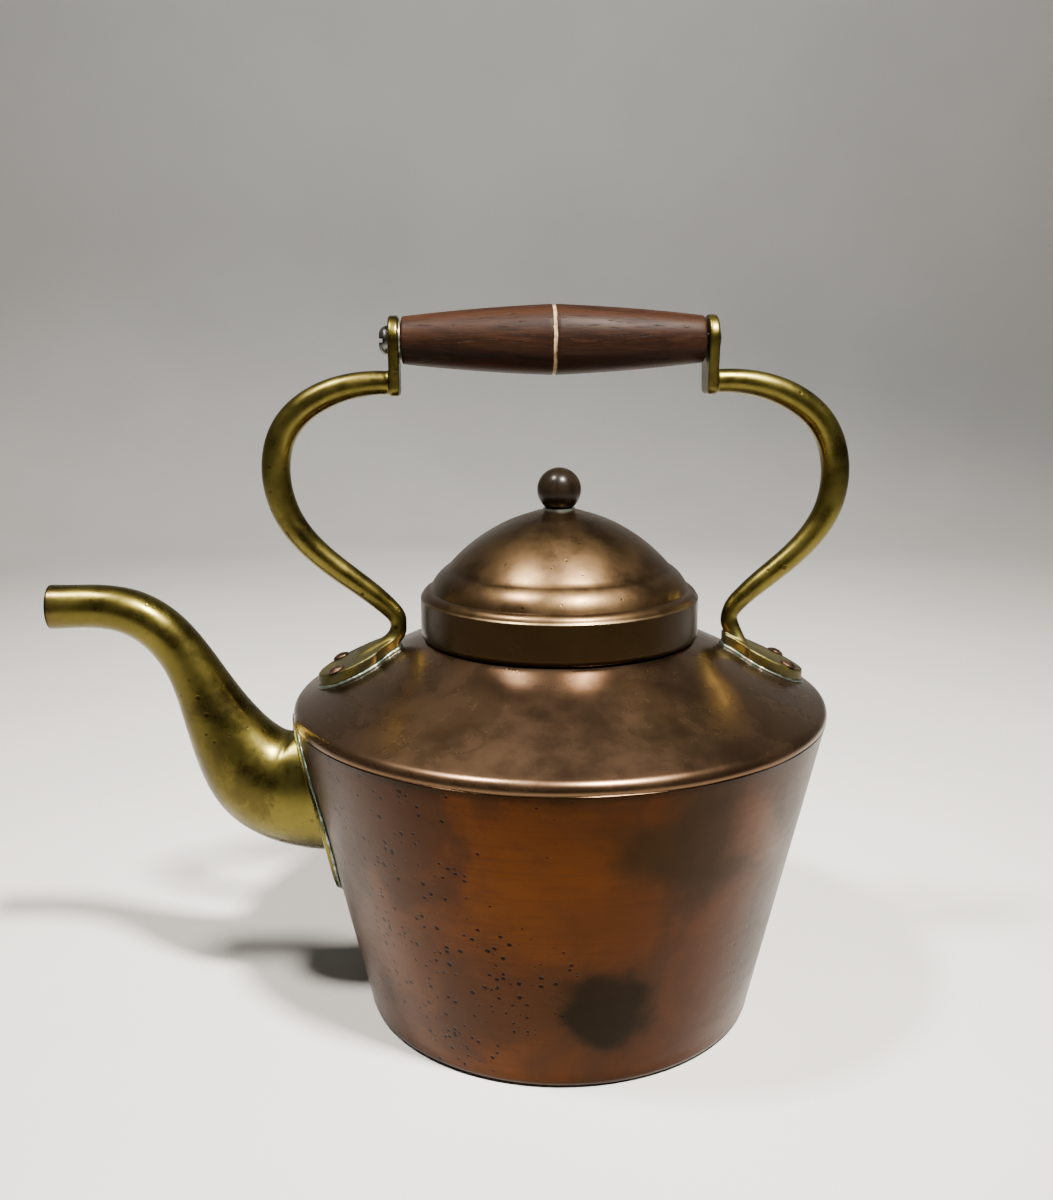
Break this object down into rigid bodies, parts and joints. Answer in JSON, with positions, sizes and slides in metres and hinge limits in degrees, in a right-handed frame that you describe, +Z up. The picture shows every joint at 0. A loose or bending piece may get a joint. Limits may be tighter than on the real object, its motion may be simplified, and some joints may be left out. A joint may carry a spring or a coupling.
{
  "type": "stovetop kettle",
  "caption": "Flared copper stovetop kettle with a domed lift-off lid, a brass gooseneck spout and a riveted brass handle with a turning wooden grip.",
  "frame": {"origin": "centre of the flat base, on the axis of the body", "axes": "+Z up along the axis of the body; -X towards the mouth of the spout; the handle lies in the XZ plane"},
  "size_m": [0.2673, 0.1808, 0.2387],
  "materials": {
    "copper_body": "copper, spun and hand worn, with dark pits and purple-brown patina",
    "copper_shoulder": "copper with a smooth brown patina and fine scratches",
    "copper_lid": "copper with a mottled bronze-brown patina",
    "copper_rivet": "dull dark copper",
    "brass_spout": "tarnished olive-yellow brass",
    "brass_flange": "tarnished brass with green corrosion at the joint",
    "brass_arm": "tarnished brass, polished where it is touched",
    "solder": "grey tin solder with green corrosion",
    "washer_metal": "dull plated washer",
    "steel": "darkened steel",
    "grip_wood": "turned dark hardwood, oiled, with worn open grain",
    "knob": "dark stained and lacquered turned ball"
  },
  "bodies": {
    "root": {"lower_body": "copper_body", "shoulder": "copper_shoulder", "neck_collar": "copper_shoulder", "spout_bowl": "brass_spout", "spout_shank": "brass_spout", "spout_tube": "brass_spout", "spout_flange": "brass_flange", "spout_solder": "solder", "front_arm": "brass_arm", "rear_arm": "brass_arm", "front_foot_solder": "solder", "rear_foot_solder": "solder", "front_near_rivet": "copper_rivet", "front_far_rivet": "copper_rivet", "rear_near_rivet": "copper_rivet", "rear_far_rivet": "copper_rivet", "grip_rod": "steel", "grip_nut": "steel", "grip_washer": "steel"},
    "lid": {"lid_shell": "copper_lid", "lid_knob": "knob", "knob_washer": "washer_metal", "knob_screw": "steel"},
    "grip": {"grip": "grip_wood"}
  },
  "joints": [
    {"name": "lid_lift", "type": "slide", "parent": "root", "child": "lid", "axis": [0, 0, 1], "range_m": [0, 0.027]},
    {"name": "grip_spin", "type": "hinge", "parent": "root", "child": "grip", "pos_m": [0, 0, 0.2274], "axis": [1, 0, 0], "continuous": true}
  ]
}
